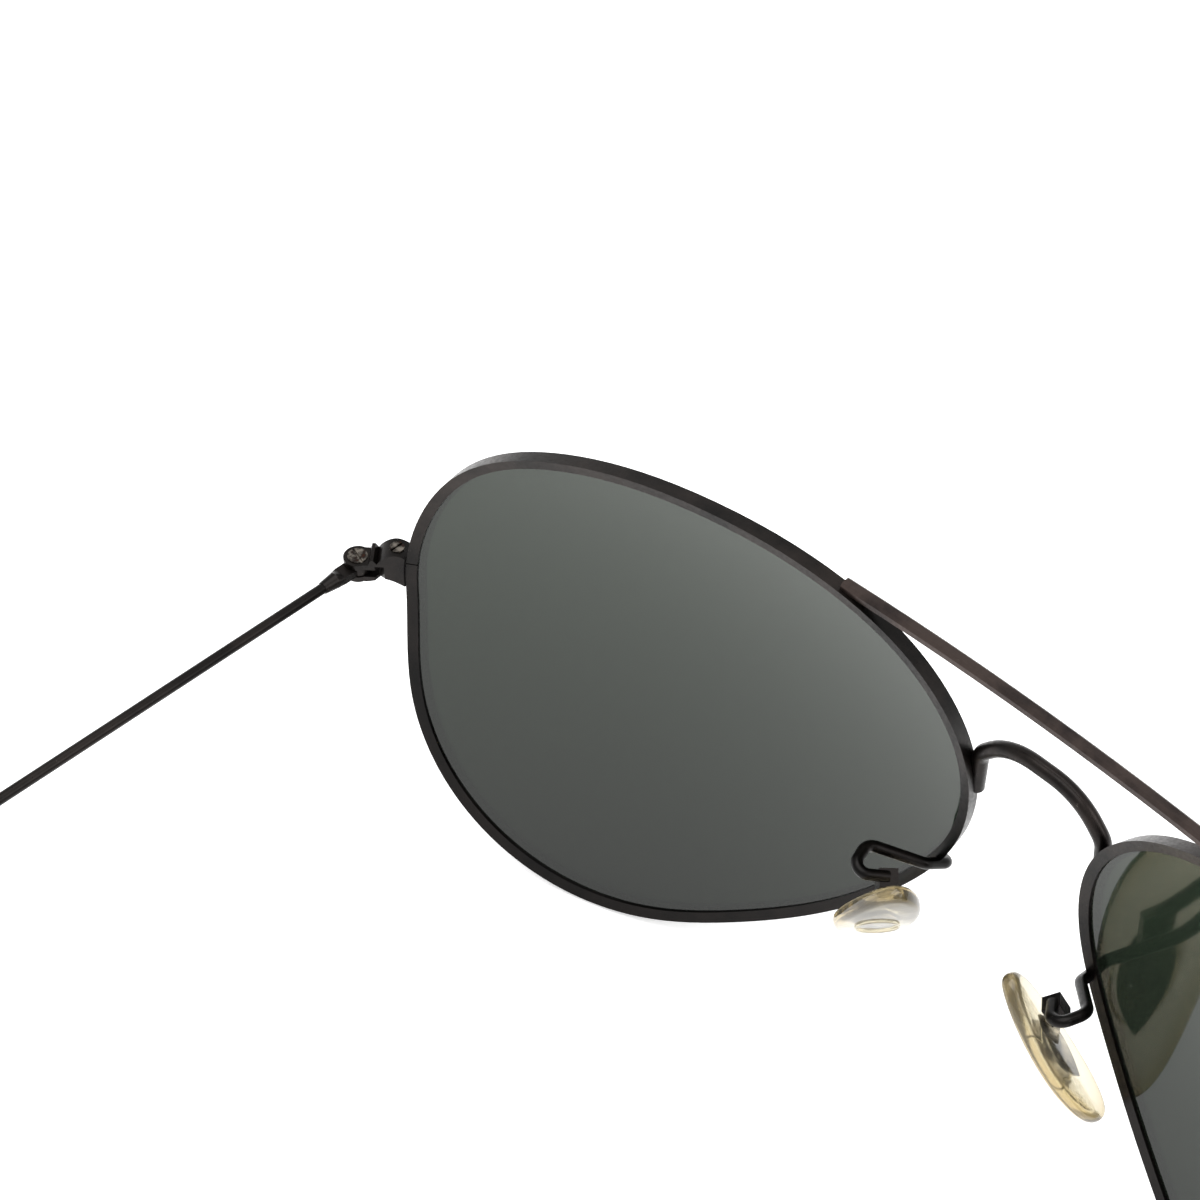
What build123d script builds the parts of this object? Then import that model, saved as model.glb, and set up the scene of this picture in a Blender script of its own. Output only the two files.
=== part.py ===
from build123d import *
import os
from math import cos, radians, sin

# Wire-framed aviator sunglasses, standing on the rims and the temple tips with the temples open.
# Millimetres. +Z is up, the lenses face -Y, the temples run back along +Y and +X is the wearer's left.
# The origin is on the table, under the middle of the whole pair.

os.makedirs("parts", exist_ok=True)

# ---- lenses and rims ----
LENS_CENTRE_X = 36.6  # half the distance between the lens centres
LENS_LEAN = 7.6  # degrees that the tops of the lenses lean forward
LENS_WRAP = 14.35  # degrees that each lens turns back round the face
LENS_CURVE = 86.6  # radius of the lens surface, a 6 base curve
LENS_FRONT = 1.2  # lens front, ahead of the middle of the rim wire
LENS_BACK = 0.5  # lens back, behind the middle of the rim wire
RIM_DEPTH = 1.6  # rim wire, front to back
RIM_LAND = 0.55  # rim wire outside the lens edge
RIM_LIP = 0.45  # rim wire inside the lens edge, on each side of its groove
GROOVE_FRONT = 0.6
GROOVE_BACK = 0.1
RIM_SLIT = 0.12  # saw cut where the rim is closed by its screw
OUTLINE_STATIONS = 40  # points round a lens outline that is grown or shrunk
PRISM_REACH = 14.0  # half length of the prisms that are cut to the lens curve

# ---- standing height and temples ----
STANDING_HEIGHT = 25.19  # lens centre above the table
FRONT_REACH = 4.7  # foremost point of the front, ahead of the lens centres
TEMPLE_X = 67.35
TEMPLE_RISE = 5.85  # temple wire above the lens centre
TEMPLE_STRAIGHT = 88.0  # hinge axis to the start of the ear bend
TEMPLE_WIRE = 1.04  # diameter
EAR_BEND_RADIUS = 30.0
EAR_BEND_ANGLE = 52.0
TIP_RADIUS = 1.5  # plastic sleeve over the temple's end
TIP_MOUTH = 74.0  # hinge axis to the sleeve's mouth
WIRE_END = 6.0  # wire stops this far short of the sleeve's end

# ---- hinge and closing block, heights from the temple wire ----
HINGE_X = 67.45
HINGE_BACK = 14.9  # hinge axis, behind the lens centres
BLOCK_HEADING = 43.0  # degrees from +X that the block leaves the rim, seen from above
BLOCK_THICK = 2.4
BLOCK_START = -7.0  # inside the rim, where the rim's outline trims the block
BLOCK_END = -2.6  # hinge leaf is brazed on here
SPLIT = 1.25  # where the block's halves meet
LUG_RADIUS = 1.35
LUG_TOP = 1.1
LUG_BOTTOM = -1.0
KNUCKLE_RADIUS = 1.25
KNUCKLE_TOP = 0.45
KNUCKLE_BOTTOM = -0.35
KNUCKLE_GAP = 0.05
SLOT_RADIUS = 2.2  # room round the hinge axis for the knuckle and the temple's flat neck
FOLD_ROOM = 0.95  # half height and half width of the room for the folded temple's neck
HINGE_SCREW_RADIUS = 0.5
HINGE_SCREW_CLEARANCE = 0.05
HINGE_HEAD_RADIUS = 0.95
HINGE_HEAD = 0.3
RIM_SCREW_PLACE = -3.75  # from the hinge axis along the block
RIM_SCREW_RADIUS = 0.4
RIM_HEAD_RADIUS = 0.7
RIM_HEAD_SEAT = 2.15
RIM_HEAD = 0.4
SCREW_SLOT = 0.22
SCREW_SLOT_DEPTH = 0.18
NECK_RADIUS = 0.8
NECK_END = 4.4
SOCKET_START = 2.5

# ---- brow bar and bridge ----
BAR_HALF_SPAN = 22.3
BAR_WIDE = 1.3
BAR_TALL = 1.15
BAR_CHAMFER = 0.3
BAR_BACK = -2.4  # ends, ahead of the lens centres
BAR_RISE = 24.4
BAR_BOW = 0.7  # its middle stands this far ahead of its ends
BAR_LIFT = 0.05  # and this far above them
BRIDGE_WIRE = 1.54
BRIDGE_BACK = -3.9
BRIDGE_TOP = 17.5

# ---- nose pads ----
ARM_WIRE = 1.1
PAD_LONG = 18.3
PAD_WIDE = 7.0
PAD_THICK = 1.6
PAD_BOW = 98.0  # radius that the pad is bowed to along its length
PAD_TAPER = 0.55  # its lower end is wider than its upper end by twice this
CORE_LONG = 8.2
CORE_WIDE = 3.4
CORE_THICK = 0.4
PIN_DROP = 2.2  # rocking pin, behind the middle of the pad
PIN_ALONG = -4.0  # and towards the pad's upper end
PIN_RADIUS = 0.35
PIN_CLEARANCE = 0.05
TANG_WIDE = 1.0
TANG_RADIUS = 0.7
LINK_FOOT = -1.95  # foot of the core's sloping link, above the pin
BOX_LONG = 2.1
BOX_WALL = 0.3
BOX_FACE = 1.6  # box's open face, behind the middle of the pad
BOX_FLOOR = 2.97
BOX_BACK = 3.3

# ---- places worked out from them ----
EAR_TURN = radians(EAR_BEND_ANGLE)
EAR_DROP = EAR_BEND_RADIUS * (1 - cos(EAR_TURN))
TIP_RUN = (STANDING_HEIGHT + TEMPLE_RISE - TIP_RADIUS - EAR_DROP) / sin(EAR_TURN)
TIP_BACK = TEMPLE_STRAIGHT + EAR_BEND_RADIUS * sin(EAR_TURN) + TIP_RUN * cos(EAR_TURN)
BACK_REACH = HINGE_BACK + TIP_BACK + TIP_RADIUS
DATUM_Y = (FRONT_REACH - BACK_REACH) / 2


def at(x, y, z):
    """A point given from the middle of the bridge, at the height of the lens centres."""
    return Vector(x, y + DATUM_Y, z + STANDING_HEIGHT)


# ---- lens outline, seen from the front of the left lens: outwards and up from the lens centre ----
LENS_EDGE = [
    (28.7, 2.6), (27.2, 12.7), (22.4, 19.9), (14.1, 23.9), (0.0, 25.2), (-13.0, 23.95),
    (-22.6, 20.2), (-27.8, 14.1), (-28.8, 6.3), (-24.5, -4.1), (-18.7, -11.6), (-6.7, -21.1),
    (-0.6, -24.1), (6.1, -25.5), (14.2, -24.3), (21.7, -19.5), (26.9, -10.9),
]
with BuildLine() as lens_edge:
    Spline(*LENS_EDGE, periodic=True)
EDGE_CURVE = lens_edge.edges()[0]


def grown(amount):
    """Points of the lens outline moved outwards by an amount, round the whole lens."""
    points = []
    for station in range(OUTLINE_STATIONS):
        where = station / OUTLINE_STATIONS
        along = EDGE_CURVE % where
        points.append(EDGE_CURVE @ where + Vector(along.Y, -along.X) * amount)
    return points


LENS_PLANE = Plane(
    Location(at(LENS_CENTRE_X, 0, 0))
    * Location((0, 0, 0), (LENS_LEAN, 0, 0))
    * Location((0, 0, 0), (0, 0, LENS_WRAP))
    * Plane.XZ.location
)
CURVE_PLANE = Plane(
    origin=LENS_PLANE.origin - LENS_PLANE.z_dir * LENS_CURVE,
    x_dir=-LENS_PLANE.z_dir,
    z_dir=LENS_PLANE.y_dir,
)


def lens_prism(amount):
    """A prism through the lens, with the lens outline grown by an amount."""
    with BuildPart() as prism:
        with BuildSketch(LENS_PLANE):
            with BuildLine():
                Spline(*grown(amount), periodic=True)
            make_face()
        extrude(amount=PRISM_REACH, both=True)
    return prism.part


def curved_slab(prism, front, back):
    """A prism cut between two spheres about the centre of the lens curve."""
    with BuildPart() as slab:
        add(prism)
        with Locations(CURVE_PLANE.location):
            Sphere(LENS_CURVE + front, mode=Mode.INTERSECT)
            Sphere(LENS_CURVE - back, mode=Mode.SUBTRACT)
    return slab.part


def wire(points, radii, diameter):
    """A round wire along straight runs joined by tangent arcs."""
    with BuildPart() as swept:
        with BuildLine() as route:
            FilletPolyline(*points, radius=radii)
        with BuildSketch(Plane(origin=route.wires()[0] @ 0, z_dir=route.wires()[0] % 0)):
            Circle(diameter / 2)
        sweep(path=route.wires()[0])
    return swept.part


rim_prism = lens_prism(RIM_LAND)
opening_prism = lens_prism(-RIM_LIP)
rim_blank = curved_slab(rim_prism, RIM_DEPTH / 2, RIM_DEPTH / 2)
ridge = curved_slab(lens_prism(0), GROOVE_FRONT, GROOVE_BACK)

with BuildPart() as lens:
    add(curved_slab(opening_prism, LENS_FRONT, LENS_BACK))
    add(ridge)

# ---- planes of the hinge ----
HINGE_CENTRE = at(HINGE_X, HINGE_BACK, TEMPLE_RISE)
HINGE_PLANE = Plane(origin=HINGE_CENTRE, x_dir=(1, 0, 0), z_dir=(0, 0, 1))
HEADING = radians(BLOCK_HEADING)
BLOCK_OUT = Vector(cos(HEADING), sin(HEADING), 0)
BLOCK_PLANE = Plane(origin=HINGE_CENTRE, x_dir=BLOCK_OUT, z_dir=(sin(HEADING), -cos(HEADING), 0))
RIM_SCREW_PLANE = Plane(origin=HINGE_CENTRE + BLOCK_OUT * RIM_SCREW_PLACE, z_dir=(0, 0, 1))
UP = (Align.CENTER, Align.CENTER, Align.MIN)

with BuildPart() as rim:
    add(rim_blank)
    add(opening_prism, mode=Mode.SUBTRACT)
    add(ridge, mode=Mode.SUBTRACT)
    with Locations(BLOCK_PLANE.location * Location((BLOCK_START + 1.5, SPLIT, 0))):
        Box(6, RIM_SLIT, 8, mode=Mode.SUBTRACT)

# ---- closing block: two halves brazed to the rim's ends and drawn together by the rim screw ----
with BuildPart() as lower_block:
    with BuildSketch(BLOCK_PLANE):
        with BuildLine():
            Line((BLOCK_START, SPLIT), (BLOCK_END, SPLIT))
            Line((BLOCK_END, SPLIT), (BLOCK_END, -0.6))
            Spline((BLOCK_END, -0.6), (-3.6, -1.0), (-4.8, -1.8), (-5.6, -2.3))
            Line((-5.6, -2.3), (BLOCK_START, -2.3))
            Line((BLOCK_START, -2.3), (BLOCK_START, SPLIT))
        make_face()
    extrude(amount=BLOCK_THICK / 2, both=True)
    add(rim_prism, mode=Mode.SUBTRACT)
    with Locations(RIM_SCREW_PLANE.offset(LUG_BOTTOM + 0.5).location):
        Cylinder(RIM_SCREW_RADIUS, 6, align=UP, mode=Mode.SUBTRACT)

with BuildPart() as upper_block:
    with BuildSketch(BLOCK_PLANE):
        with BuildLine():
            Spline((BLOCK_START, 1.6), (-4.8, 1.95), (-3.7, 2.45), (-2.6, 2.05), (-1.9, SPLIT))
            Line((-1.9, SPLIT), (BLOCK_START, SPLIT))
            Line((BLOCK_START, SPLIT), (BLOCK_START, 1.6))
        make_face()
    extrude(amount=BLOCK_THICK / 2, both=True)
    add(rim_prism, mode=Mode.SUBTRACT)
    with Locations(RIM_SCREW_PLANE.location):
        Cylinder(RIM_SCREW_RADIUS, 6, align=UP, mode=Mode.SUBTRACT)
    with Locations(RIM_SCREW_PLANE.offset(RIM_HEAD_SEAT).location):
        Cylinder(RIM_HEAD_RADIUS, 2, align=UP, mode=Mode.SUBTRACT)


def slotted_screw(plane, bottom, seat, head, shank_radius, head_radius, slot_turn):
    """A cheese-head screw standing in a plane's +Z, with its slot turned by some degrees."""
    with BuildPart() as screw:
        with Locations(plane.offset(bottom).location):
            Cylinder(shank_radius, seat - bottom, align=UP)
        with Locations(plane.offset(seat).location):
            Cylinder(head_radius, head, align=UP)
        with Locations(plane.offset(seat + head).location * Location((0, 0, 0), (0, 0, slot_turn))):
            Box(3 * head_radius, SCREW_SLOT, 2 * SCREW_SLOT_DEPTH, mode=Mode.SUBTRACT)
    return screw.part


rim_screw = slotted_screw(
    RIM_SCREW_PLANE, LUG_BOTTOM + 0.5, RIM_HEAD_SEAT, RIM_HEAD, RIM_SCREW_RADIUS, RIM_HEAD_RADIUS, 90
)
hinge_screw = slotted_screw(
    HINGE_PLANE, LUG_BOTTOM, LUG_TOP - HINGE_HEAD, HINGE_HEAD + 0.1, HINGE_SCREW_RADIUS,
    HINGE_HEAD_RADIUS, -15
)

# ---- hinge: a slotted leaf on the block, and the temple's knuckle between its two lugs ----
with BuildPart() as leaf:
    with BuildSketch(BLOCK_PLANE):
        with BuildLine():
            Line((BLOCK_END, SPLIT), (-1.9, SPLIT))
            Line((-1.9, SPLIT), (-1.6, 1.7))
            Line((-1.6, 1.7), (-1.3, 1.7))
            Line((-1.3, 1.7), (-1.1, LUG_TOP))
            Line((-1.1, LUG_TOP), (0, LUG_TOP))
            Line((0, LUG_TOP), (0, LUG_BOTTOM))
            Line((0, LUG_BOTTOM), (-1.0, LUG_BOTTOM))
            Line((-1.0, LUG_BOTTOM), (BLOCK_END, -0.6))
            Line((BLOCK_END, -0.6), (BLOCK_END, SPLIT))
        make_face()
    extrude(amount=BLOCK_THICK / 2, both=True)
    with BuildSketch(HINGE_PLANE.offset(LUG_BOTTOM)):
        Circle(LUG_RADIUS)
    extrude(amount=LUG_TOP - LUG_BOTTOM)
    with Locations(HINGE_PLANE.offset(KNUCKLE_BOTTOM - KNUCKLE_GAP).location):
        Cylinder(SLOT_RADIUS, KNUCKLE_TOP - KNUCKLE_BOTTOM + 2 * KNUCKLE_GAP, align=UP, mode=Mode.SUBTRACT)
    with Locations(HINGE_PLANE.location * Location((-SLOT_RADIUS - 1, 0, 0))):
        Box(2.3, 2 * FOLD_ROOM, 2 * FOLD_ROOM, mode=Mode.SUBTRACT)
    with Locations(HINGE_PLANE.location):
        Cylinder(HINGE_SCREW_RADIUS, 6, mode=Mode.SUBTRACT)
    with Locations(HINGE_PLANE.offset(LUG_TOP - HINGE_HEAD).location):
        Cylinder(HINGE_HEAD_RADIUS, 2, align=UP, mode=Mode.SUBTRACT)

KNUCKLE_MIDDLE = (KNUCKLE_TOP + KNUCKLE_BOTTOM) / 2
KNUCKLE_TALL = KNUCKLE_TOP - KNUCKLE_BOTTOM
TEMPLE_SHIFT = TEMPLE_X - HINGE_X
NECK_PLANE = Plane(origin=HINGE_CENTRE, x_dir=(1, 0, 0), z_dir=(0, 1, 0))
with BuildPart() as knuckle:
    with Locations(HINGE_PLANE.offset(KNUCKLE_BOTTOM).location):
        Cylinder(KNUCKLE_RADIUS, KNUCKLE_TALL, align=UP)
    with BuildSketch(HINGE_PLANE.offset(KNUCKLE_BOTTOM)):
        with Locations((TEMPLE_SHIFT, 0)):
            Rectangle(2 * NECK_RADIUS, SLOT_RADIUS + 0.15, align=(Align.CENTER, Align.MIN))
    extrude(amount=KNUCKLE_TALL)
    with BuildSketch(NECK_PLANE.offset(SLOT_RADIUS)):
        with Locations((TEMPLE_SHIFT, -KNUCKLE_MIDDLE)):
            Rectangle(2 * NECK_RADIUS, KNUCKLE_TALL)
    with BuildSketch(NECK_PLANE.offset(SLOT_RADIUS + 0.7)):
        with Locations((TEMPLE_SHIFT, 0)):
            Circle(NECK_RADIUS)
    loft()
    with BuildSketch(NECK_PLANE.offset(SLOT_RADIUS + 0.7)):
        with Locations((TEMPLE_SHIFT, 0)):
            Circle(NECK_RADIUS)
    with BuildSketch(NECK_PLANE.offset(NECK_END)):
        with Locations((TEMPLE_SHIFT, 0)):
            Circle(TEMPLE_WIRE / 2 + 0.08)
    loft()
    with Locations(HINGE_PLANE.location):
        Cylinder(HINGE_SCREW_RADIUS + HINGE_SCREW_CLEARANCE, 6, mode=Mode.SUBTRACT)
    with BuildSketch(NECK_PLANE.offset(SOCKET_START)):
        with Locations((TEMPLE_SHIFT, 0)):
            Circle(TEMPLE_WIRE / 2)
    extrude(amount=NECK_END, mode=Mode.SUBTRACT)

# ---- temple wire and its plastic tip ----
TEMPLE_PLANE = Plane(origin=at(TEMPLE_X, HINGE_BACK, TEMPLE_RISE), x_dir=(0, 1, 0), z_dir=(1, 0, 0))


def temple_rod(start, radius, short):
    """A round rod along the temple's line, from a distance behind the hinge to short of its end."""
    with BuildPart() as rod:
        with BuildLine(TEMPLE_PLANE) as route:
            Line((start, 0), (TEMPLE_STRAIGHT, 0))
            bend = JernArc((TEMPLE_STRAIGHT, 0), (1, 0), EAR_BEND_RADIUS, -EAR_BEND_ANGLE)
            PolarLine(bend @ 1, TIP_RUN - short, angle=-EAR_BEND_ANGLE)
        with BuildSketch(Plane(origin=route.wires()[0] @ 0, z_dir=(0, 1, 0))):
            Circle(radius)
        sweep(path=route.wires()[0])
    return rod.part, route.wires()[0] @ 1


temple_wire, wire_end = temple_rod(SOCKET_START, TEMPLE_WIRE / 2, WIRE_END)
sleeve, sleeve_end = temple_rod(TIP_MOUTH, TIP_RADIUS, 0)
with BuildPart() as tip:
    add(sleeve)
    with Locations(sleeve_end):
        Sphere(TIP_RADIUS)
    add(temple_wire, mode=Mode.SUBTRACT)

# ---- brow bar, laid along the tops of both rims ----
BAR_END = at(BAR_HALF_SPAN, BAR_BACK, BAR_RISE)
with BuildPart() as brow_bar:
    with BuildLine() as bar_line:
        ThreePointArc(
            at(-BAR_HALF_SPAN, BAR_BACK, BAR_RISE),
            at(0, BAR_BACK - BAR_BOW, BAR_RISE + BAR_LIFT),
            BAR_END,
        )
    bar_path = bar_line.wires()[0]
    with BuildSketch(Plane(origin=bar_path @ 0, x_dir=(0, 1, 0), z_dir=bar_path % 0)) as bar_section:
        Rectangle(BAR_WIDE, BAR_TALL)
        chamfer(bar_section.vertices(), BAR_CHAMFER)
    sweep(path=bar_path)
    add(rim_blank, mode=Mode.SUBTRACT)
    add(mirror(rim_blank, about=Plane.YZ), mode=Mode.SUBTRACT)

# ---- bridge: an arched wire whose feet run down the inner sides of the rims ----
BRIDGE_HALF = [(7.15, 9.5), (6.95, 14.1), (3.9, BRIDGE_TOP)]
bridge_points = [at(-x, BRIDGE_BACK, z) for x, z in BRIDGE_HALF]
bridge_points += [at(x, BRIDGE_BACK, z) for x, z in reversed(BRIDGE_HALF)]
with BuildPart() as bridge:
    add(wire(bridge_points, [2.2, 6.5, 6.5, 2.2], BRIDGE_WIRE))
    add(rim_blank, mode=Mode.SUBTRACT)
    add(mirror(rim_blank, about=Plane.YZ), mode=Mode.SUBTRACT)

# ---- nose pad: a clear pad moulded round a metal core that rocks in a box on the pad arm ----
PAD_PLANE = Plane(origin=at(10.2, 4.3, -3.74), x_dir=(0.452, -0.245, -0.858), z_dir=(-0.624, 0.6, -0.5))
PIN_PLANE = Plane(
    origin=PAD_PLANE.from_local_coords((PIN_ALONG, 0, -PIN_DROP)),
    x_dir=PAD_PLANE.x_dir,
    z_dir=PAD_PLANE.y_dir,
)
BOW_PLANE = Plane(
    origin=PAD_PLANE.origin - PAD_PLANE.z_dir * PAD_BOW, x_dir=PAD_PLANE.x_dir, z_dir=PAD_PLANE.y_dir
)

with BuildPart() as core:
    with BuildSketch(PAD_PLANE.offset(-CORE_THICK)):
        with BuildLine():
            Spline((-CORE_LONG / 2, 0), (0, CORE_WIDE / 2), (CORE_LONG / 2, 0))
            Spline((CORE_LONG / 2, 0), (0, -CORE_WIDE / 2), (-CORE_LONG / 2, 0))
        make_face()
    extrude(amount=CORE_THICK)
    with BuildSketch(PIN_PLANE):
        Polygon((-0.35, -0.55), (-PIN_ALONG - 1.0, LINK_FOOT), (-PIN_ALONG + 0.8, LINK_FOOT), (0.35, 0.6), align=None)
    extrude(amount=TANG_WIDE / 2, both=True)
    with Locations(PIN_PLANE.location):
        Cylinder(TANG_RADIUS, TANG_WIDE)
        Cylinder(PIN_RADIUS + PIN_CLEARANCE, 3, mode=Mode.SUBTRACT)

PAD_END = PAD_LONG / 2
PAD_HALF = [(-PAD_END * 0.55, PAD_WIDE * 0.38), (0, PAD_WIDE / 2), (PAD_END * 0.6, PAD_WIDE * 0.38 + PAD_TAPER)]
pad_outline = [(-PAD_END, 0)] + PAD_HALF + [(PAD_END, 0)] + [(x, -y) for x, y in reversed(PAD_HALF)]
with BuildPart() as pad:
    with BuildSketch(PAD_PLANE):
        with BuildLine():
            Spline(*pad_outline, periodic=True)
        make_face()
    extrude(amount=2 * PAD_THICK, both=True)
    with Locations(BOW_PLANE.location):
        Cylinder(PAD_BOW + PAD_THICK / 2, 3 * PAD_WIDE, mode=Mode.INTERSECT)
        Cylinder(PAD_BOW - PAD_THICK / 2, 3 * PAD_WIDE, mode=Mode.SUBTRACT)
    fillet(pad.edges(), 0.4)
    add(core.part, mode=Mode.SUBTRACT)

BOX_WIDE = TANG_WIDE + 2 * (PIN_CLEARANCE + BOX_WALL)
with BuildPart() as box_block:
    with BuildSketch(PAD_PLANE.offset(-BOX_BACK)):
        with Locations((PIN_ALONG, 0)):
            Rectangle(BOX_LONG, BOX_WIDE)
    extrude(amount=BOX_BACK - BOX_FACE)

with BuildPart() as pad_box:
    add(box_block.part)
    with BuildSketch(PAD_PLANE.offset(-BOX_FLOOR)):
        with Locations((PIN_ALONG + BOX_WALL, 0)):
            Rectangle(BOX_LONG, TANG_WIDE + 2 * PIN_CLEARANCE)
    extrude(amount=BOX_FLOOR, mode=Mode.SUBTRACT)
    with Locations(PIN_PLANE.location):
        Cylinder(PIN_RADIUS, 2 * BOX_WIDE, mode=Mode.SUBTRACT)

with BuildPart() as pad_pin:
    with Locations(PIN_PLANE.location):
        Cylinder(PIN_RADIUS, BOX_WIDE)

arm_points = [
    at(10.3, -2.5, -1.2),
    at(8.2, -4.1, -1.8),
    at(9.1, -0.3, 0.4),
    at(12.9, 3.3, 2.8),
    at(11.7, 6.8, 2.8),
    PAD_PLANE.from_local_coords((PIN_ALONG - BOX_LONG / 2 + 0.2, 0, -PIN_DROP - 0.35)),
]
with BuildPart() as pad_arm:
    add(wire(arm_points, [0.8, 1.6, 1.35, 1.0], ARM_WIRE))
    add(rim_blank, mode=Mode.SUBTRACT)
    add(box_block.part, mode=Mode.SUBTRACT)

# ---- write every piece, with the paired ones mirrored to the right-hand side ----
brow_bar.part.label = "brow_bar"
export_step(brow_bar.part, "parts/brow_bar.step")
bridge.part.label = "bridge"
export_step(bridge.part, "parts/bridge.step")

paired = {
    "rim": rim.part,
    "lens": lens.part,
    "closing_block_lower": lower_block.part,
    "closing_block_upper": upper_block.part,
    "rim_screw": rim_screw,
    "hinge_leaf": leaf.part,
    "hinge_screw": hinge_screw,
    "temple_knuckle": knuckle.part,
    "temple_wire": temple_wire,
    "temple_tip": tip.part,
    "pad_arm": pad_arm.part,
    "pad_box": pad_box.part,
    "pad_pin": pad_pin.part,
    "pad_core": core.part,
    "nose_pad": pad.part,
}
for name, left in paired.items():
    left.label = f"{name}_left"
    export_step(left, f"parts/{name}_left.step")
    right = mirror(left, about=Plane.YZ)
    right.label = f"{name}_right"
    export_step(right, f"parts/{name}_right.step")

print("temple length along the wire", round(TEMPLE_STRAIGHT + EAR_BEND_RADIUS * EAR_TURN + TIP_RUN, 1))
print("hinge axis", HINGE_CENTRE, "pad pin", PIN_PLANE.origin, "pin axis", PIN_PLANE.z_dir)
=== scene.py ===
"""Looks for a pair of wire-framed aviator sunglasses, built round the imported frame.

Everything is in metres in the frame's own axes: +Z up, the lenses face -Y, the open temples run
back along +Y, and +X is the wearer's left. The worn finish lives in the materials; the nose pads
are modelled here, and every other piece is the frame's own.
"""

from __future__ import annotations

import logging
import math
from dataclasses import dataclass
from enum import Enum
from typing import Any

import bpy
from mathutils import Matrix, Vector

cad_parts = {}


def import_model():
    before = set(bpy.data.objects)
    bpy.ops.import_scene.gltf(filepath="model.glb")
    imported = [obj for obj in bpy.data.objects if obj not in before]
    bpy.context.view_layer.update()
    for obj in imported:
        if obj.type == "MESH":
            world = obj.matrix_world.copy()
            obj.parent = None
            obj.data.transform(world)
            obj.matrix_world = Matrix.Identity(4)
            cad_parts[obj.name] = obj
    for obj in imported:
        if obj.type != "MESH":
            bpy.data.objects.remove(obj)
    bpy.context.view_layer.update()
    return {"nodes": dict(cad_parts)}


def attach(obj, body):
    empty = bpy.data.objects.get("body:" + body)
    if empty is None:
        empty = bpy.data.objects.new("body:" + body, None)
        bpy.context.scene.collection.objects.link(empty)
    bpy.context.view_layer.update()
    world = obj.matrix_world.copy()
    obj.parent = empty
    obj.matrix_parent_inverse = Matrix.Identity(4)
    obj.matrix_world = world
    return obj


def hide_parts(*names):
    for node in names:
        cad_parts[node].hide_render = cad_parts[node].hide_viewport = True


LOG = logging.getLogger("aviator")
MM = 0.001


class Side(Enum):
    """The two halves of the pair; the value is the sign of X."""

    LEFT = 1
    RIGHT = -1

    @property
    def tag(self) -> str:
        """The side's name as the frame's nodes spell it."""
        return self.name.lower()


# ---------------------------------------------------------------- small helpers


def srgb(code: str, alpha: float = 1.0) -> tuple[float, float, float, float]:
    """Turns an sRGB hex colour into the linear colour that shaders take.

    Args:
        code: Six hex digits, with or without a leading #.
        alpha: The fourth number.

    Returns:
        Linear red, green and blue, and alpha.
    """
    digits = code.lstrip("#")
    channels = [int(digits[i : i + 2], 16) / 255 for i in (0, 2, 4)]
    linear = [c / 12.92 if c <= 0.04045 else ((c + 0.055) / 1.055) ** 2.4 for c in channels]
    return (linear[0], linear[1], linear[2], alpha)


def per_mm(size_mm: float) -> float:
    """Works out the scale of a pattern on Object coordinates, which are in metres.

    Args:
        size_mm: The size of the pattern's features, in mm.

    Returns:
        The texture's scale.
    """
    return 1.0 / (size_mm * MM)


def add_node(
    material: bpy.types.Material,
    kind: str,
    settings: dict[str, Any] | None = None,
    links: dict[str, Any] | None = None,
) -> bpy.types.Node:
    """Adds one node to a material.

    Args:
        material: The material whose tree takes the node.
        kind: The node's type name.
        settings: Node properties, and values of input sockets by name or number.
        links: Output sockets to join to inputs, by the input's name or number.

    Returns:
        The new node.
    """
    tree = material.node_tree
    node = tree.nodes.new(kind)
    for name, value in (settings or {}).items():
        if isinstance(name, str) and hasattr(node, name) and name not in node.inputs:
            setattr(node, name, value)
        else:
            node.inputs[name].default_value = value
    for name, source in (links or {}).items():
        tree.links.new(source, node.inputs[name])
    return node


def fresh_material(name: str) -> bpy.types.Material:
    """Makes a new node material with an empty tree.

    Args:
        name: The material's name.

    Returns:
        The material.
    """
    material = bpy.data.materials.new(name)
    material.use_nodes = True
    material.node_tree.nodes.clear()
    return material


def set_ramp(
    node: bpy.types.Node, stops: list[tuple[float, tuple[float, float, float, float]]]
) -> None:
    """Sets a colour ramp's stops.

    Args:
        node: The colour ramp node.
        stops: Place and linear colour of each stop, in order.
    """
    elements = node.color_ramp.elements
    while len(elements) > 2:
        elements.remove(elements[-1])
    while len(elements) < len(stops):
        elements.new(1.0)
    for element, (place, colour) in zip(elements, stops):
        element.position = place
        element.color = colour


def grey(value: float) -> tuple[float, float, float, float]:
    """Makes a linear grey, for ramps that carry a number.

    Args:
        value: The number.

    Returns:
        The grey as red, green, blue and alpha.
    """
    return (value, value, value, 1.0)


def deselect() -> None:
    """Leaves object mode with nothing selected."""
    if bpy.context.object is not None and bpy.context.object.mode != "OBJECT":
        bpy.ops.object.mode_set(mode="OBJECT")
    bpy.ops.object.select_all(action="DESELECT")


def choose(piece: bpy.types.Object) -> None:
    """Makes one object the only selected one, and the active one.

    Args:
        piece: The object.
    """
    deselect()
    piece.select_set(True)
    bpy.context.view_layer.objects.active = piece


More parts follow.
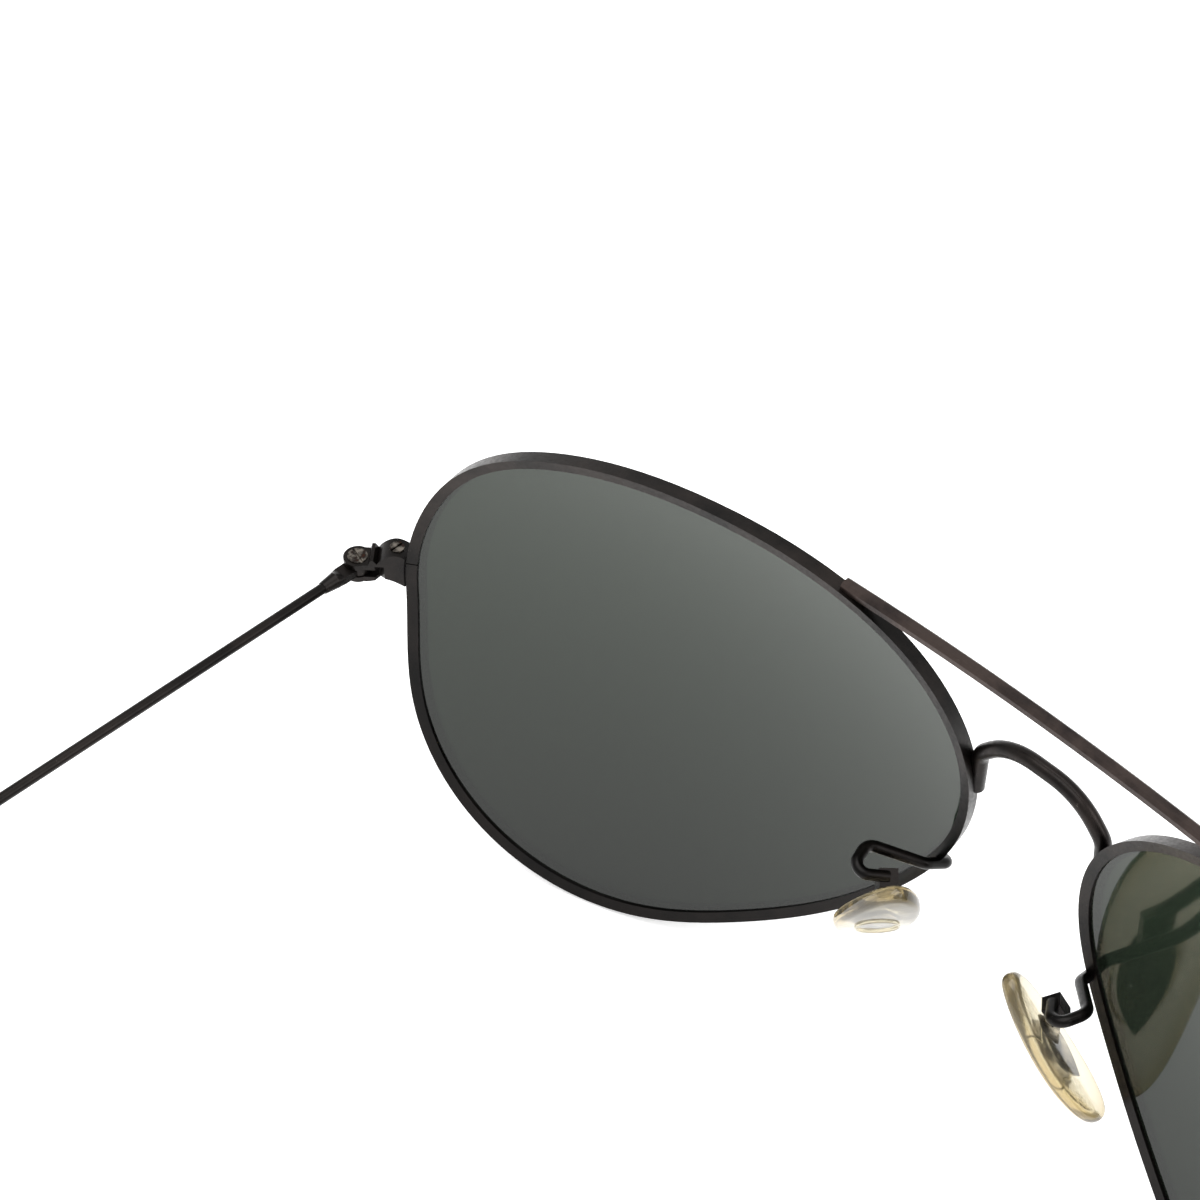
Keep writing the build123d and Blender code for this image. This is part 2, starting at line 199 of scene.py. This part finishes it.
def settle(piece: bpy.types.Object, place: Matrix, name: str) -> None:
    """Names a finished piece and moves its place into its mesh.

    Args:
        piece: The object, modelled at the origin.
        place: Where it goes in the frame.
        name: The piece's name.
    """
    choose(piece)
    piece.name = name
    piece.data.name = name
    piece.matrix_world = place
    bpy.ops.object.transform_apply(location=True, rotation=True, scale=True)
    bpy.ops.object.mode_set(mode="EDIT")
    bpy.ops.mesh.select_all(action="SELECT")
    bpy.ops.mesh.normals_make_consistent(inside=False)
    bpy.ops.object.mode_set(mode="OBJECT")
    bpy.ops.object.shade_smooth_by_angle(angle=math.radians(40))


def give(piece: bpy.types.Object, material: bpy.types.Material) -> None:
    """Makes a material the only one on a piece.

    Args:
        piece: The object.
        material: Its new material.
    """
    piece.data.materials.clear()
    piece.data.materials.append(material)


# ---------------------------------------------------------------- finishes


@dataclass(frozen=True)
class PlatedMetal:
    """Nickel alloy with a black chrome plating, worn brown in blotches, with painted shade darkening it
    lower down.
    """

    name: str = "black_plated_nickel_alloy"
    deep: str = "141211"
    brown: str = "2e2825"
    bare: str = "77706a"
    roughness: float = 0.36
    blotch_mm: float = 7.0
    grain_mm: float = 0.35
    chip_mm: float = 1.3
    wear: float = 0.5
    # painted shade: the heights over which the colour darkens towards the bottom, and how dark it gets
    # there
    shade_fade_from: float = 26.0 * MM
    shade_fade_to: float = 47.0 * MM
    shade_bottom_level: float = 0.3

    def build(self) -> bpy.types.Material:
        """Black chrome that has thinned to brown in blotches, with fine rubbing and a few chips.

        Returns:
            The material.
        """
        m = fresh_material(self.name)
        place = add_node(m, "ShaderNodeTexCoord").outputs["Object"]
        blotch = add_node(
            m,
            "ShaderNodeTexNoise",
            {"Scale": per_mm(self.blotch_mm), "Detail": 5.0, "Roughness": 0.6},
            {"Vector": place},
        )
        tone = add_node(m, "ShaderNodeValToRGB", links={"Fac": blotch.outputs["Fac"]})
        set_ramp(tone, [(0.36, srgb(self.deep)), (0.5 + 0.2 * (1 - self.wear), srgb(self.brown))])
        # rubbed grain: too fine to show at its real 0.05 mm, so it is drawn coarser
        grain = add_node(
            m,
            "ShaderNodeTexNoise",
            {"Scale": per_mm(self.grain_mm), "Detail": 3.0, "Roughness": 0.7},
            {"Vector": place},
        )
        chips = add_node(
            m,
            "ShaderNodeTexNoise",
            {"Scale": per_mm(self.chip_mm), "Detail": 6.0, "Roughness": 0.75},
            {"Vector": place},
        )
        chip_mask = add_node(m, "ShaderNodeValToRGB", links={"Fac": chips.outputs["Fac"]})
        set_ramp(chip_mask, [(0.67, grey(0.0)), (0.71, grey(0.8))])
        bared = add_node(
            m,
            "ShaderNodeMix",
            {"data_type": "RGBA", 7: srgb(self.bare)},
            {0: chip_mask.outputs["Color"], 6: tone.outputs["Color"]},
        )
        # painted shade: the plating is drawn darker lower down on the frame, by height
        height = add_node(m, "ShaderNodeSeparateXYZ", links={"Vector": place})
        painted_shade_height = add_node(
            m,
            "ShaderNodeMapRange",
            {"From Min": self.shade_fade_from, "From Max": self.shade_fade_to, "To Min": self.shade_bottom_level},
            {"Value": height.outputs["Z"]},
        )
        colour = add_node(
            m,
            "ShaderNodeVectorMath",
            {"operation": "SCALE"},
            {0: bared.outputs[2], "Scale": painted_shade_height.outputs["Result"]},
        )
        rough = add_node(
            m,
            "ShaderNodeMapRange",
            {
                "From Min": 0.3,
                "From Max": 0.7,
                "To Min": self.roughness - 0.1,
                "To Max": self.roughness + 0.14,
            },
            {"Value": grain.outputs["Fac"]},
        )
        bump = add_node(
            m,
            "ShaderNodeBump",
            {"Strength": 0.22, "Distance": 0.02 * MM},
            {"Height": grain.outputs["Fac"]},
        )
        shader = add_node(
            m,
            "ShaderNodeBsdfPrincipled",
            {"Metallic": 0.9, "Coat Weight": 0.12, "Coat Roughness": 0.2},
            {
                "Base Color": colour.outputs["Vector"],
                "Roughness": rough.outputs["Result"],
                "Normal": bump.outputs["Normal"],
            },
        )
        add_node(m, "ShaderNodeOutputMaterial", links={"Surface": shader.outputs["BSDF"]})
        return m


@dataclass(frozen=True)
class TurnedSteel:
    """Small turned steel screws, blackened, with bright rubbed patches and spots of rust."""

    name: str = "blackened_turned_steel"
    dark: str = "2e2a28"
    bright: str = "8a837a"
    rust: str = "41291f"
    roughness: float = 0.3

    def build(self) -> bpy.types.Material:
        """Turned steel with bright rubbed patches and small spots of rust.

        Returns:
            The material.
        """
        m = fresh_material(self.name)
        place = add_node(m, "ShaderNodeTexCoord").outputs["Object"]
        rub = add_node(m, "ShaderNodeTexNoise", {"Scale": per_mm(0.7), "Detail": 4.0}, {"Vector": place})
        tone = add_node(m, "ShaderNodeValToRGB", links={"Fac": rub.outputs["Fac"]})
        set_ramp(tone, [(0.35, srgb(self.rust)), (0.45, srgb(self.dark)), (0.62, srgb(self.bright))])
        shader = add_node(
            m,
            "ShaderNodeBsdfPrincipled",
            {"Metallic": 1.0, "Roughness": self.roughness},
            {"Base Color": tone.outputs["Color"]},
        )
        add_node(m, "ShaderNodeOutputMaterial", links={"Surface": shader.outputs["BSDF"]})
        return m


@dataclass(frozen=True)
class CoreMetal:
    """Stamped nickel silver inside the pads, dark with tarnish and bright in patches."""

    name: str = "tarnished_nickel_silver"
    tarnish: str = "35312c"
    silver: str = "c9c3b6"
    roughness: float = 0.24

    def build(self) -> bpy.types.Material:
        """Nickel silver tarnished unevenly.

        Returns:
            The material.
        """
        m = fresh_material(self.name)
        place = add_node(m, "ShaderNodeTexCoord").outputs["Object"]
        cloud = add_node(m, "ShaderNodeTexNoise", {"Scale": per_mm(1.6), "Detail": 4.0}, {"Vector": place})
        tone = add_node(m, "ShaderNodeValToRGB", links={"Fac": cloud.outputs["Fac"]})
        set_ramp(tone, [(0.42, srgb(self.tarnish)), (0.66, srgb(self.silver))])
        shader = add_node(
            m,
            "ShaderNodeBsdfPrincipled",
            {"Metallic": 1.0, "Roughness": self.roughness},
            {"Base Color": tone.outputs["Color"]},
        )
        add_node(m, "ShaderNodeOutputMaterial", links={"Surface": shader.outputs["BSDF"]})
        return m


@dataclass(frozen=True)
class TintedGlass:
    """Grey-green mineral glass, ground and polished, with a little dust on it."""

    name: str = "grey_green_mineral_glass"
    upper: str = "2b352a"
    # the lower colour is painted shade for the bottom of the lens
    lower: str = "171d16"
    dust: str = "7f857a"
    clearness: float = 0.6

    def build(self) -> bpy.types.Material:
        """Tinted glass, drawn darker towards the bottom as painted shade, with faint smears and dust
        specks.

        Returns:
            The material.
        """
        m = fresh_material(self.name)
        place = add_node(m, "ShaderNodeTexCoord").outputs["Object"]
        height = add_node(m, "ShaderNodeSeparateXYZ", links={"Vector": place})
        # painted shade: the tint fades to the darker lower colour towards the bottom of the lens
        fade = add_node(
            m, "ShaderNodeMapRange", {"From Min": 0.002, "From Max": 0.050}, {"Value": height.outputs["Z"]}
        )
        tint = add_node(
            m,
            "ShaderNodeMix",
            {"data_type": "RGBA", 6: srgb(self.lower), 7: srgb(self.upper)},
            {0: fade.outputs["Result"]},
        )
        specks = add_node(m, "ShaderNodeTexVoronoi", {"Scale": per_mm(4.5)}, {"Vector": place})
        speck_mask = add_node(m, "ShaderNodeValToRGB", links={"Fac": specks.outputs["Distance"]})
        set_ramp(speck_mask, [(0.02, grey(0.5)), (0.035, grey(0.0))])
        dusty = add_node(
            m,
            "ShaderNodeMix",
            {"data_type": "RGBA", 7: srgb(self.dust)},
            {0: speck_mask.outputs["Color"], 6: tint.outputs[2]},
        )
        smear = add_node(m, "ShaderNodeTexNoise", {"Scale": per_mm(14.0), "Detail": 5.0}, {"Vector": place})
        rough = add_node(
            m, "ShaderNodeMapRange", {"To Min": 0.01, "To Max": 0.09}, {"Value": smear.outputs["Fac"]}
        )
        shader = add_node(
            m,
            "ShaderNodeBsdfPrincipled",
            {"IOR": 1.52, "Transmission Weight": self.clearness, "Specular IOR Level": 0.3},
            {"Base Color": dusty.outputs[2], "Roughness": rough.outputs["Result"]},
        )
        add_node(m, "ShaderNodeOutputMaterial", links={"Surface": shader.outputs["BSDF"]})
        return m


@dataclass(frozen=True)
class PadPlastic:
    """Clear soft plastic, moulded and slightly yellowed, with an amber rim of painted edge shade where its
    rounded edge bends the light.
    """

    name: str
    place: Matrix
    half_long: float
    half_wide: float
    clear: str = "e2dac2"
    # amber: painted edge shade, laid over the slightly yellowed plastic
    amber: str = "b39a5c"

    def build(self) -> bpy.types.Material:
        """Clear plastic with an amber rim and a hazy, faintly bumped surface.

        Returns:
            The material.
        """
        m = fresh_material(self.name)
        place = add_node(m, "ShaderNodeTexCoord").outputs["Object"]
        back = self.place.inverted()
        turn = back.to_euler()
        local = add_node(
            m,
            "ShaderNodeMapping",
            {"Location": tuple(back.translation), "Rotation": tuple(turn)},
            {"Vector": place},
        )
        flat = add_node(
            m,
            "ShaderNodeMapping",
            {"Scale": (1 / self.half_long, 1 / self.half_wide, 0.0)},
            {"Vector": local.outputs["Vector"]},
        )
        reach = add_node(m, "ShaderNodeVectorMath", {"operation": "LENGTH"}, {0: flat.outputs["Vector"]})
        # painted edge shade: the amber round the rim stands in for light bent at the pad's rounded edge
        edge = add_node(m, "ShaderNodeValToRGB", links={"Fac": reach.outputs["Value"]})
        set_ramp(edge, [(0.7, grey(0.0)), (0.9, grey(0.3)), (1.0, grey(0.8))])
        tone = add_node(
            m,
            "ShaderNodeMix",
            {"data_type": "RGBA", 6: srgb(self.clear), 7: srgb(self.amber)},
            {0: edge.outputs["Color"]},
        )
        haze = add_node(m, "ShaderNodeTexNoise", {"Scale": per_mm(2.2), "Detail": 4.0}, {"Vector": place})
        rough = add_node(
            m, "ShaderNodeMapRange", {"To Min": 0.03, "To Max": 0.2}, {"Value": haze.outputs["Fac"]}
        )
        bump = add_node(
            m, "ShaderNodeBump", {"Strength": 0.25, "Distance": 0.15 * MM}, {"Height": haze.outputs["Fac"]}
        )
        shader = add_node(
            m,
            "ShaderNodeBsdfPrincipled",
            {"IOR": 1.46, "Transmission Weight": 0.9},
            {
                "Base Color": tone.outputs[2],
                "Roughness": rough.outputs["Result"],
                "Normal": bump.outputs["Normal"],
            },
        )
        add_node(m, "ShaderNodeOutputMaterial", links={"Surface": shader.outputs["BSDF"]})
        return m


@dataclass(frozen=True)
class TipPlastic:
    """Black cellulose acetate sleeves, tumbled glossy, with dull rubbed patches."""

    name: str = "black_cellulose_acetate"
    black: str = "161413"
    worn: str = "2a2725"

    def build(self) -> bpy.types.Material:
        """Glossy black plastic with dull rubbed patches.

        Returns:
            The material.
        """
        m = fresh_material(self.name)
        place = add_node(m, "ShaderNodeTexCoord").outputs["Object"]
        rub = add_node(m, "ShaderNodeTexNoise", {"Scale": per_mm(5.0), "Detail": 5.0}, {"Vector": place})
        tone = add_node(
            m,
            "ShaderNodeMix",
            {"data_type": "RGBA", 6: srgb(self.black), 7: srgb(self.worn)},
            {0: rub.outputs["Fac"]},
        )
        rough = add_node(
            m, "ShaderNodeMapRange", {"To Min": 0.1, "To Max": 0.38}, {"Value": rub.outputs["Fac"]}
        )
        shader = add_node(
            m,
            "ShaderNodeBsdfPrincipled",
            {"IOR": 1.5},
            {"Base Color": tone.outputs[2], "Roughness": rough.outputs["Result"]},
        )
        add_node(m, "ShaderNodeOutputMaterial", links={"Surface": shader.outputs["BSDF"]})
        return m


# ---------------------------------------------------------------- the parts


@dataclass
class MetalFrame:
    """Every plated piece: rims, bridge, brow bar, closing blocks, hinges, arms and temple wires."""

    plated: tuple[str, ...] = (
        "rim",
        "closing_block_lower",
        "closing_block_upper",
        "hinge_leaf",
        "temple_knuckle",
        "temple_wire",
        "pad_arm",
        "pad_box",
    )
    shared: tuple[str, ...] = ("brow_bar", "bridge")
    screws: tuple[str, ...] = ("rim_screw", "hinge_screw", "pad_pin")

    def dress(self, nodes: dict[str, bpy.types.Object]) -> None:
        """Gives the frame's own metal nodes their finishes.

        Args:
            nodes: The frame's nodes by name.
        """
        metal = PlatedMetal().build()
        bar = PlatedMetal(
            name="black_plated_bar_worn_brown", deep="2a2423", brown="453b37", wear=0.9, roughness=0.4
        ).build()
        steel = TurnedSteel().build()
        for name in self.shared:
            give(nodes[name], bar if name == "brow_bar" else metal)
        for side in Side:
            for name in self.plated:
                give(nodes[f"{name}_{side.tag}"], metal)
            for name in self.screws:
                give(nodes[f"{name}_{side.tag}"], steel)
        LOG.info("frame metal: %d kinds of node", len(self.shared) + len(self.plated) + len(self.screws))


@dataclass
class Lens:
    """One lens, ground and polished on both faces."""

    side: Side
    glass: bpy.types.Material

    def dress(self, nodes: dict[str, bpy.types.Object]) -> None:
        """Gives the lens its glass.

        Args:
            nodes: The frame's nodes by name.
        """
        give(nodes[f"lens_{self.side.tag}"], self.glass)


@dataclass
class NosePad:
    """One clear pad and its raised arc."""

    side: Side
    long: float = 18.3 * MM
    wide: float = 7.0 * MM
    thick: float = 1.6 * MM
    bow_radius: float = 98.0 * MM
    taper: float = 0.10
    edge_share: float = 0.44
    crown_steps: tuple[tuple[float, float], ...] = ((0.86, 0.05), (0.78, 0.05), (0.65, 0.03))
    ridge_size: tuple[float, float, float] = (2.9 * MM, 1.9 * MM, 2.2 * MM)
    ridge_along: float = 0.4 * MM
    ridge_rise: float = 0.68
    origin: tuple[float, float, float] = (10.2 * MM, (4.3 - 68.7056) * MM, (25.19 - 3.74) * MM)
    down: tuple[float, float, float] = (0.452, -0.245, -0.858)
    towards_nose: tuple[float, float, float] = (-0.624, 0.6, -0.5)

    def place(self) -> Matrix:
        """Works out the pad's own axes in the frame: X down its length, Z towards the nose.

        Returns:
            The pad's place; the right pad's is the mirror image of the left's.
        """
        x = Vector(self.down).normalized()
        z = Vector(self.towards_nose)
        z = (z - x * z.dot(x)).normalized()
        y = z.cross(x)
        matrix = Matrix((x, y, z)).transposed().to_4x4()
        matrix.translation = Vector(self.origin)
        if self.side is Side.RIGHT:
            flip = Matrix.Diagonal((-1, 1, 1, 1))
            turn = Matrix.Diagonal((1, -1, 1, 1))
            matrix = flip @ matrix @ turn
        return matrix

    def build_pad(self) -> bpy.types.Object:
        """Models the pad from a disc: crowned faces, soft edge, a wider lower end, bowed along its length.

        Returns:
            The pad, riding on its body.
        """
        deselect()
        bpy.ops.mesh.primitive_cylinder_add(vertices=48, radius=1.0, depth=1.0, end_fill_type="NGON")
        pad = bpy.context.object
        pad.scale = (self.long / 2, self.wide / 2, self.thick)
        bpy.ops.object.transform_apply(location=True, rotation=True, scale=True)
        bpy.ops.object.mode_set(mode="EDIT")
        bpy.ops.mesh.select_mode(type="EDGE")
        bpy.ops.mesh.select_all(action="DESELECT")
        bpy.ops.object.mode_set(mode="OBJECT")
        for edge in pad.data.edges:
            heights = [pad.data.vertices[i].co.z for i in edge.vertices]
            edge.select = heights[0] * heights[1] > 0
        bpy.ops.object.mode_set(mode="EDIT")
        bpy.ops.mesh.bevel(offset=self.edge_share * self.thick, segments=6, affect="EDGES")
        bpy.ops.mesh.select_mode(type="FACE")
        bpy.ops.object.mode_set(mode="OBJECT")
        for shrink, rise in self.crown_steps:
            self.crown(pad, shrink, rise)
        for vertex in pad.data.vertices:
            along = vertex.co.x / (self.long / 2)
            vertex.co.y *= 1 + self.taper * along
        self.ridge(pad)
        # the bend works about Z, so the pad is tipped on its side for it
        pad.rotation_euler = (math.radians(90), 0, 0)
        bpy.ops.object.transform_apply(location=True, rotation=True, scale=True)
        bow = pad.modifiers.new("bow", "SIMPLE_DEFORM")
        bow.deform_method = "BEND"
        bow.deform_axis = "Z"
        bow.angle = self.long / self.bow_radius
        bpy.ops.object.modifier_apply(modifier="bow")
        pad.rotation_euler = (math.radians(-90), 0, 0)
        bpy.ops.object.transform_apply(location=True, rotation=True, scale=True)
        name = f"nose_pad_clear_{self.side.tag}"
        settle(pad, self.place(), name)
        pad_plastic = PadPlastic(
            f"clear_soft_plastic_{self.side.tag}", self.place(), self.long / 2, self.wide / 2
        )
        give(pad, pad_plastic.build())
        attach(pad, f"pad_{self.side.tag}")
        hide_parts(f"nose_pad_{self.side.tag}")
        return pad

    def ridge(self, pad: bpy.types.Object) -> None:
        """Joins a low oval ridge to the pad's nose face, as the mould leaves over the core.

        Args:
            pad: The pad's object, still at the origin.
        """
        bpy.ops.mesh.primitive_torus_add(
            major_radius=1.0, minor_radius=0.06, major_segments=48, minor_segments=10
        )
        ring = bpy.context.object
        ring.scale = self.ridge_size
        ring.location = (self.ridge_along, 0, self.thick * self.ridge_rise)
        bpy.ops.object.transform_apply(location=True, rotation=True, scale=True)
        choose(pad)
        ring.select_set(True)
        bpy.ops.object.join()

    def crown(self, pad: bpy.types.Object, shrink: float, rise: float) -> None:
        """Insets both flat faces, shrinks them and lifts them, so that the faces are gently domed.

        Args:
            pad: The pad's object.
            shrink: Size of the inner face as a share of the outer one.
            rise: Lift as a share of the pad's thickness.
        """
        bpy.ops.object.mode_set(mode="EDIT")
        bpy.ops.mesh.select_all(action="DESELECT")
        bpy.ops.object.mode_set(mode="OBJECT")
        for sign in (1, -1):
            caps = [p for p in pad.data.polygons if p.normal.z * sign > 0.99 and len(p.vertices) > 8]
            for cap in caps:
                cap.select = True
            bpy.ops.object.mode_set(mode="EDIT")
            bpy.ops.mesh.inset(thickness=0.01 * MM, depth=0.0)
            bpy.ops.transform.resize(value=(shrink, shrink, 1.0))
            bpy.ops.transform.translate(value=(0, 0, sign * rise * self.thick))
            bpy.ops.mesh.select_all(action="DESELECT")
            bpy.ops.object.mode_set(mode="OBJECT")


@dataclass
class Studio:
    """A pale floor, large soft lamps and the camera."""

    camera_place: tuple[float, float, float] = (-0.127503, 0.097599, 0.281165)
    camera_turn: tuple[float, float, float] = (43.925, 0.358, -133.43)
    focal_mm: float = 113.05
    floor_half: float = 3.0
    floor_glow: float = 0.45
    floor_drop: float = 0.0002
    surroundings: float = 0.75
    lamps: tuple[tuple[str, tuple[float, float, float], float, float], ...] = (
        ("softbox_over", (0.0, 0.1, 0.9), 0.9, 7.0),
        ("softbox_side", (-0.8, -0.2, 0.5), 0.6, 3.0),
    )

    def floor(self) -> None:
        """Adds a plain pale floor under the frame."""
        deselect()
        bpy.ops.mesh.primitive_plane_add(size=2 * self.floor_half, location=(0, 0, -self.floor_drop))
        floor = bpy.context.object
        floor.name = "studio_floor"
        m = fresh_material("pale_studio_floor")
        shader = add_node(
            m,
            "ShaderNodeBsdfPrincipled",
            {
                "Base Color": srgb("f7f7f7"),
                "Roughness": 0.9,
                "Emission Color": srgb("ffffff"),
                "Emission Strength": self.floor_glow,
            },
        )
        add_node(m, "ShaderNodeOutputMaterial", links={"Surface": shader.outputs["BSDF"]})
        give(floor, m)

    def light(self) -> None:
        """Adds white surroundings and two large soft lamps."""
        world = bpy.context.scene.world or bpy.data.worlds.new("studio")
        bpy.context.scene.world = world
        world.use_nodes = True
        background = next(n for n in world.node_tree.nodes if n.type == "BACKGROUND")
        background.inputs["Color"].default_value = srgb("ffffff")
        background.inputs["Strength"].default_value = self.surroundings
        for name, place, size, power in self.lamps:
            lamp = bpy.data.lights.new(name, "AREA")
            lamp.energy = power
            lamp.size = size
            holder = bpy.data.objects.new(name, lamp)
            bpy.context.scene.collection.objects.link(holder)
            holder.location = place
            holder.rotation_mode = "QUATERNION"
            holder.rotation_quaternion = (-Vector(place)).to_track_quat("-Z", "Y")

    def camera(self) -> None:
        """Adds the camera, above and behind on the wearer's right, looking down at the lenses' backs."""
        data = bpy.data.cameras.new("camera")
        data.lens = self.focal_mm
        data.sensor_width = 36.0
        data.clip_start = 0.01
        holder = bpy.data.objects.new("camera", data)
        bpy.context.scene.collection.objects.link(holder)
        holder.location = self.camera_place
        holder.rotation_euler = tuple(math.radians(a) for a in self.camera_turn)
        bpy.context.scene.camera = holder


def main() -> None:
    """Builds everything in order."""
    logging.basicConfig(level=logging.INFO, format="%(name)s: %(message)s")
    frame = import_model()
    nodes = frame["nodes"]
    studio = Studio()
    studio.floor()
    studio.light()
    studio.camera()
    MetalFrame().dress(nodes)
    glass = TintedGlass().build()
    core_metal = CoreMetal().build()
    tips = TipPlastic().build()
    for side in Side:
        Lens(side, glass).dress(nodes)
        give(nodes[f"pad_core_{side.tag}"], core_metal)
        give(nodes[f"temple_tip_{side.tag}"], tips)
        pad = NosePad(side).build_pad()
        LOG.info("%s: %d faces", pad.name, len(pad.data.polygons))
    view = bpy.context.scene.view_settings
    view.view_transform = "Standard"


if __name__ == "__main__":
    main()
